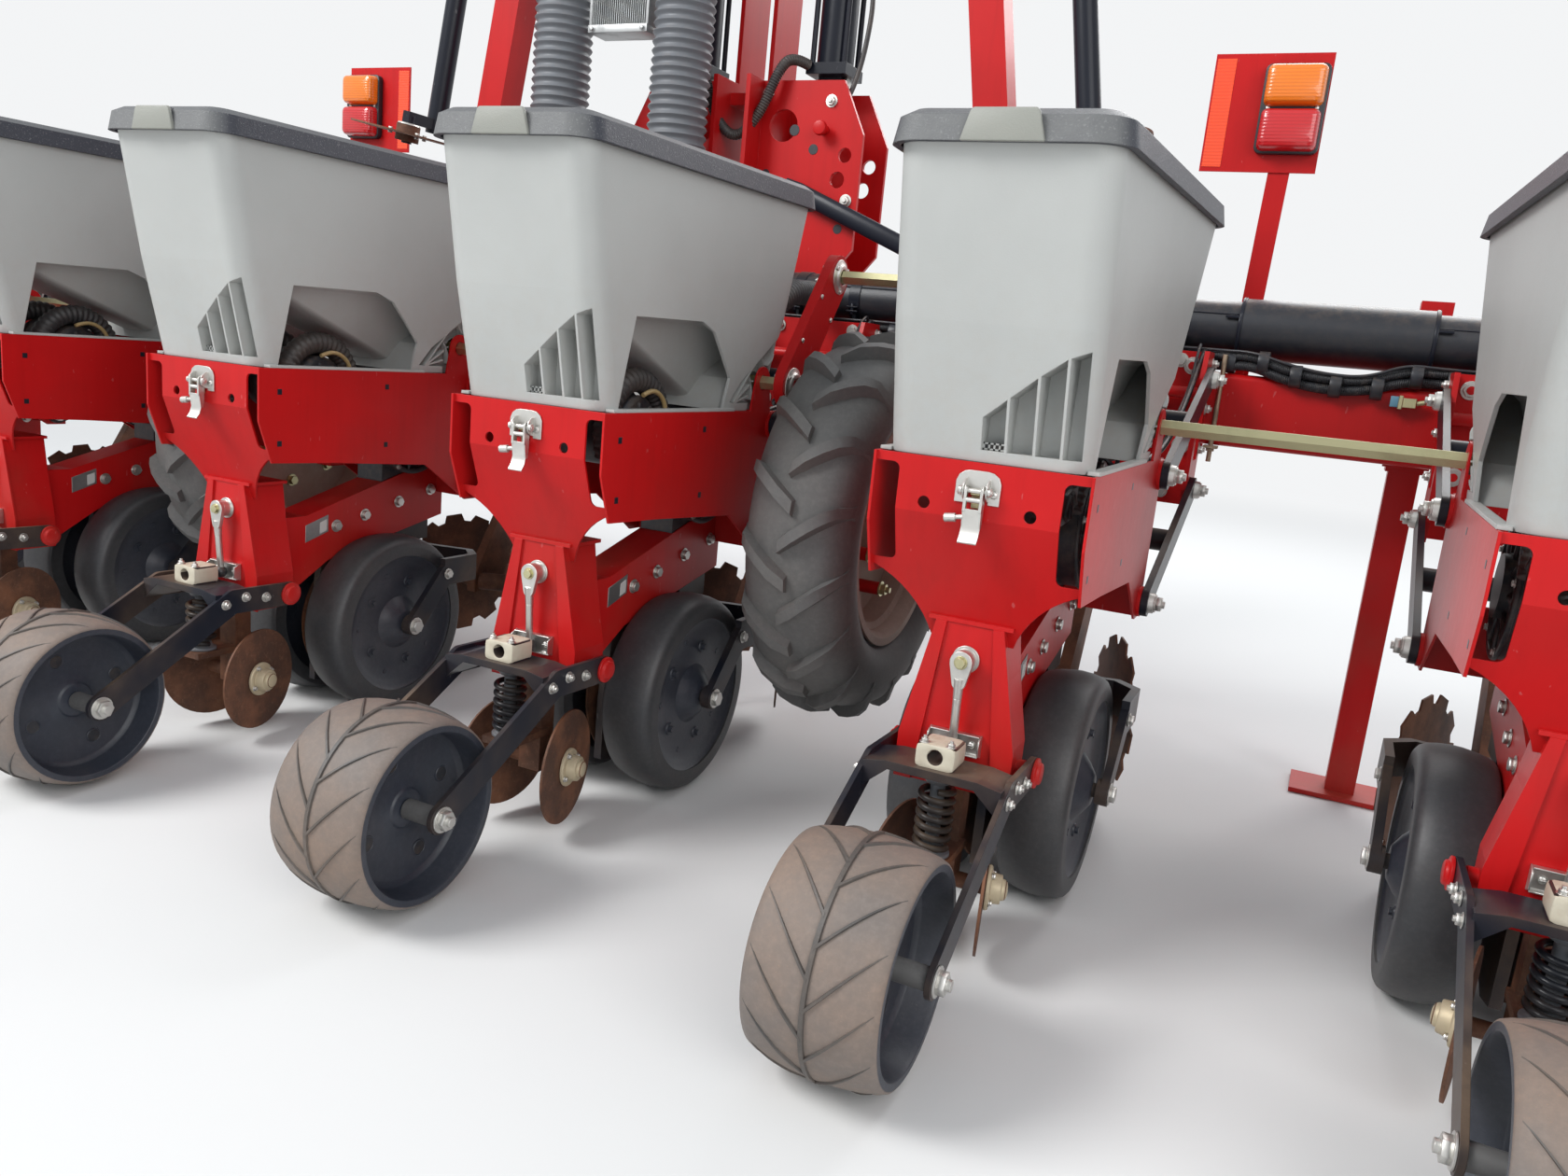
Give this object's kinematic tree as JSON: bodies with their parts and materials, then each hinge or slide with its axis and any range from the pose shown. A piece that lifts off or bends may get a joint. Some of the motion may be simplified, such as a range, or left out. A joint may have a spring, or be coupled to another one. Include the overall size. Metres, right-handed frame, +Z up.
{
  "type": "row crop planter",
  "caption": "Mounted precision row planter: rows with seed hoppers, opener discs, gauge and press wheels on a toolbar with a hitch tower, fan, folding markers and stands.",
  "frame": {"origin": "on the floor under the middle of the overall box: midway between the toolbar's ends, and midway between the front of the hitch lugs and the rear of the press wheels", "axes": "+X along the toolbar, to the right seen from behind; +Y forwards, towards the hitch; +Z up"},
  "size_m": [4.6, 2.1164, 2.4395],
  "materials": {
    "red_paint": "gloss",
    "black_paint": "satin",
    "hopper_plastic": "moulded grain",
    "lid_plastic": "moulded grain",
    "black_plastic": "satin",
    "hose_rubber": "matte",
    "gauge_rubber": "worn",
    "press_rubber": "dusty",
    "lug_rubber": "dusty",
    "rim_paint": "rusty, dusty",
    "disc_steel": "rusty",
    "spring_steel": "satin",
    "zinc": "yellow zinc",
    "cast_zinc": "bright zinc",
    "cooler_metal": "dull",
    "lamp_plastic": "glossy"
  },
  "bodies": {
    "frame": {"toolbar": "red_paint", "air_pipe": "black_plastic", "pipe_brackets": "black_paint", "row_heads": "red_paint", "parallel_arms": "black_paint", "row_frames": "red_paint", "hoppers": "hopper_plastic", "seed_meters": "black_plastic", "meter_hoses": "hose_rubber", "opener_shanks": "black_paint", "opener_discs": "disc_steel", "row_cleaners": "disc_steel", "closing_discs": "disc_steel", "press_forks": "black_paint", "springs": "spring_steel", "crank_handles": "cast_zinc", "latches": "cast_zinc", "drive_shafts": "zinc", "chain_cases": "black_paint", "wheel_legs": "red_paint", "stand_sleeves": "red_paint", "tower": "red_paint", "tower_cylinders": "black_paint", "fan": "black_paint", "fan_hoses": "hose_rubber", "cooler": "cooler_metal", "marker_brackets": "red_paint", "lamp_boards": "red_paint", "lamps": "lamp_plastic"},
    "lid_1": {"lid_1": "lid_plastic"},
    "gauge_wheels_1": {"gauge_wheels_1": "gauge_rubber"},
    "press_wheel_1": {"press_wheel_1": "press_rubber"},
    "lid_2": {"lid_2": "lid_plastic"},
    "gauge_wheels_2": {"gauge_wheels_2": "gauge_rubber"},
    "press_wheel_2": {"press_wheel_2": "press_rubber"},
    "lid_3": {"lid_3": "lid_plastic"},
    "gauge_wheels_3": {"gauge_wheels_3": "gauge_rubber"},
    "press_wheel_3": {"press_wheel_3": "press_rubber"},
    "lid_4": {"lid_4": "lid_plastic"},
    "gauge_wheels_4": {"gauge_wheels_4": "gauge_rubber"},
    "press_wheel_4": {"press_wheel_4": "press_rubber"},
    "lid_5": {"lid_5": "lid_plastic"},
    "gauge_wheels_5": {"gauge_wheels_5": "gauge_rubber"},
    "press_wheel_5": {"press_wheel_5": "press_rubber"},
    "lid_6": {"lid_6": "lid_plastic"},
    "gauge_wheels_6": {"gauge_wheels_6": "gauge_rubber"},
    "press_wheel_6": {"press_wheel_6": "press_rubber"},
    "drive_wheel_left": {"drive_tyre_left": "lug_rubber", "drive_rim_left": "rim_paint"},
    "stand_left": {"stand_left": "red_paint"},
    "marker_arm_left": {"marker_arm_left": "red_paint"},
    "marker_tube_left": {"marker_tube_left": "black_paint"},
    "marker_disc_left": {"marker_disc_left": "disc_steel"},
    "drive_wheel_right": {"drive_tyre_right": "lug_rubber", "drive_rim_right": "rim_paint"},
    "stand_right": {"stand_right": "red_paint"},
    "marker_arm_right": {"marker_arm_right": "red_paint"},
    "marker_tube_right": {"marker_tube_right": "black_paint"},
    "marker_disc_right": {"marker_disc_right": "disc_steel"}
  },
  "joints": [
    {"name": "lid_1_hinge", "type": "hinge", "parent": "frame", "child": "lid_1", "pos_m": [-1.875, 0.03625, 1.12], "axis": [-1, 0, 0], "range_deg": [0, 100]},
    {"name": "gauge_wheels_1_spin", "type": "hinge", "parent": "frame", "child": "gauge_wheels_1", "pos_m": [-1.875, -0.23875, 0.192], "axis": [1, 0, 0], "continuous": true},
    {"name": "press_wheel_1_spin", "type": "hinge", "parent": "frame", "child": "press_wheel_1", "pos_m": [-1.875, -0.90625, 0.152], "axis": [1, 0, 0], "continuous": true},
    {"name": "lid_2_hinge", "type": "hinge", "parent": "frame", "child": "lid_2", "pos_m": [-1.125, 0.03625, 1.12], "axis": [-1, 0, 0], "range_deg": [0, 100]},
    {"name": "gauge_wheels_2_spin", "type": "hinge", "parent": "frame", "child": "gauge_wheels_2", "pos_m": [-1.125, -0.23875, 0.192], "axis": [1, 0, 0], "continuous": true},
    {"name": "press_wheel_2_spin", "type": "hinge", "parent": "frame", "child": "press_wheel_2", "pos_m": [-1.125, -0.90625, 0.152], "axis": [1, 0, 0], "continuous": true},
    {"name": "lid_3_hinge", "type": "hinge", "parent": "frame", "child": "lid_3", "pos_m": [-0.375, 0.03625, 1.12], "axis": [-1, 0, 0], "range_deg": [0, 100]},
    {"name": "gauge_wheels_3_spin", "type": "hinge", "parent": "frame", "child": "gauge_wheels_3", "pos_m": [-0.375, -0.23875, 0.192], "axis": [1, 0, 0], "continuous": true},
    {"name": "press_wheel_3_spin", "type": "hinge", "parent": "frame", "child": "press_wheel_3", "pos_m": [-0.375, -0.90625, 0.152], "axis": [1, 0, 0], "continuous": true},
    {"name": "lid_4_hinge", "type": "hinge", "parent": "frame", "child": "lid_4", "pos_m": [0.375, 0.03625, 1.12], "axis": [-1, 0, 0], "range_deg": [0, 100]},
    {"name": "gauge_wheels_4_spin", "type": "hinge", "parent": "frame", "child": "gauge_wheels_4", "pos_m": [0.375, -0.23875, 0.192], "axis": [1, 0, 0], "continuous": true},
    {"name": "press_wheel_4_spin", "type": "hinge", "parent": "frame", "child": "press_wheel_4", "pos_m": [0.375, -0.90625, 0.152], "axis": [1, 0, 0], "continuous": true},
    {"name": "lid_5_hinge", "type": "hinge", "parent": "frame", "child": "lid_5", "pos_m": [1.125, 0.03625, 1.12], "axis": [-1, 0, 0], "range_deg": [0, 100]},
    {"name": "gauge_wheels_5_spin", "type": "hinge", "parent": "frame", "child": "gauge_wheels_5", "pos_m": [1.125, -0.23875, 0.192], "axis": [1, 0, 0], "continuous": true},
    {"name": "press_wheel_5_spin", "type": "hinge", "parent": "frame", "child": "press_wheel_5", "pos_m": [1.125, -0.90625, 0.152], "axis": [1, 0, 0], "continuous": true},
    {"name": "lid_6_hinge", "type": "hinge", "parent": "frame", "child": "lid_6", "pos_m": [1.875, 0.03625, 1.12], "axis": [-1, 0, 0], "range_deg": [0, 100]},
    {"name": "gauge_wheels_6_spin", "type": "hinge", "parent": "frame", "child": "gauge_wheels_6", "pos_m": [1.875, -0.23875, 0.192], "axis": [1, 0, 0], "continuous": true},
    {"name": "press_wheel_6_spin", "type": "hinge", "parent": "frame", "child": "press_wheel_6", "pos_m": [1.875, -0.90625, 0.152], "axis": [1, 0, 0], "continuous": true},
    {"name": "drive_wheel_left_spin", "type": "hinge", "parent": "frame", "child": "drive_wheel_left", "pos_m": [-0.75, -0.06175, 0.54], "axis": [1, 0, 0], "continuous": true},
    {"name": "stand_left_slide", "type": "slide", "parent": "frame", "child": "stand_left", "axis": [0, 0, 1], "range_m": [0, 0.35]},
    {"name": "marker_left_fold", "type": "hinge", "parent": "frame", "child": "marker_arm_left", "pos_m": [-0.755, 0.58325, 1.19], "axis": [0, -1, 0], "range_deg": [0, 100]},
    {"name": "marker_left_elbow", "type": "hinge", "parent": "marker_arm_left", "child": "marker_tube_left", "pos_m": [-0.64655, 0.58325, 2.4097], "axis": [0, 1, 0], "range_deg": [0, 178]},
    {"name": "marker_disc_left_spin", "type": "hinge", "parent": "marker_tube_left", "child": "marker_disc_left", "pos_m": [-0.94097, 0.47825, 1.34464], "axis": [0.1736, 0, 0.9848], "continuous": true},
    {"name": "drive_wheel_right_spin", "type": "hinge", "parent": "frame", "child": "drive_wheel_right", "pos_m": [0.75, -0.06175, 0.54], "axis": [1, 0, 0], "continuous": true},
    {"name": "stand_right_slide", "type": "slide", "parent": "frame", "child": "stand_right", "axis": [0, 0, 1], "range_m": [0, 0.35]},
    {"name": "marker_right_fold", "type": "hinge", "parent": "frame", "child": "marker_arm_right", "pos_m": [0.755, 0.58325, 1.19], "axis": [0, 1, 0], "range_deg": [0, 100]},
    {"name": "marker_right_elbow", "type": "hinge", "parent": "marker_arm_right", "child": "marker_tube_right", "pos_m": [0.64655, 0.58325, 2.4097], "axis": [0, -1, 0], "range_deg": [0, 178]},
    {"name": "marker_disc_right_spin", "type": "hinge", "parent": "marker_tube_right", "child": "marker_disc_right", "pos_m": [0.94097, 0.47825, 1.34464], "axis": [-0.1736, 0, 0.9848], "continuous": true}
  ],
  "couplings": [
    {"joint": "marker_left_elbow", "follows": "marker_left_fold", "ratio": 1.78},
    {"joint": "marker_right_elbow", "follows": "marker_right_fold", "ratio": 1.78}
  ]
}
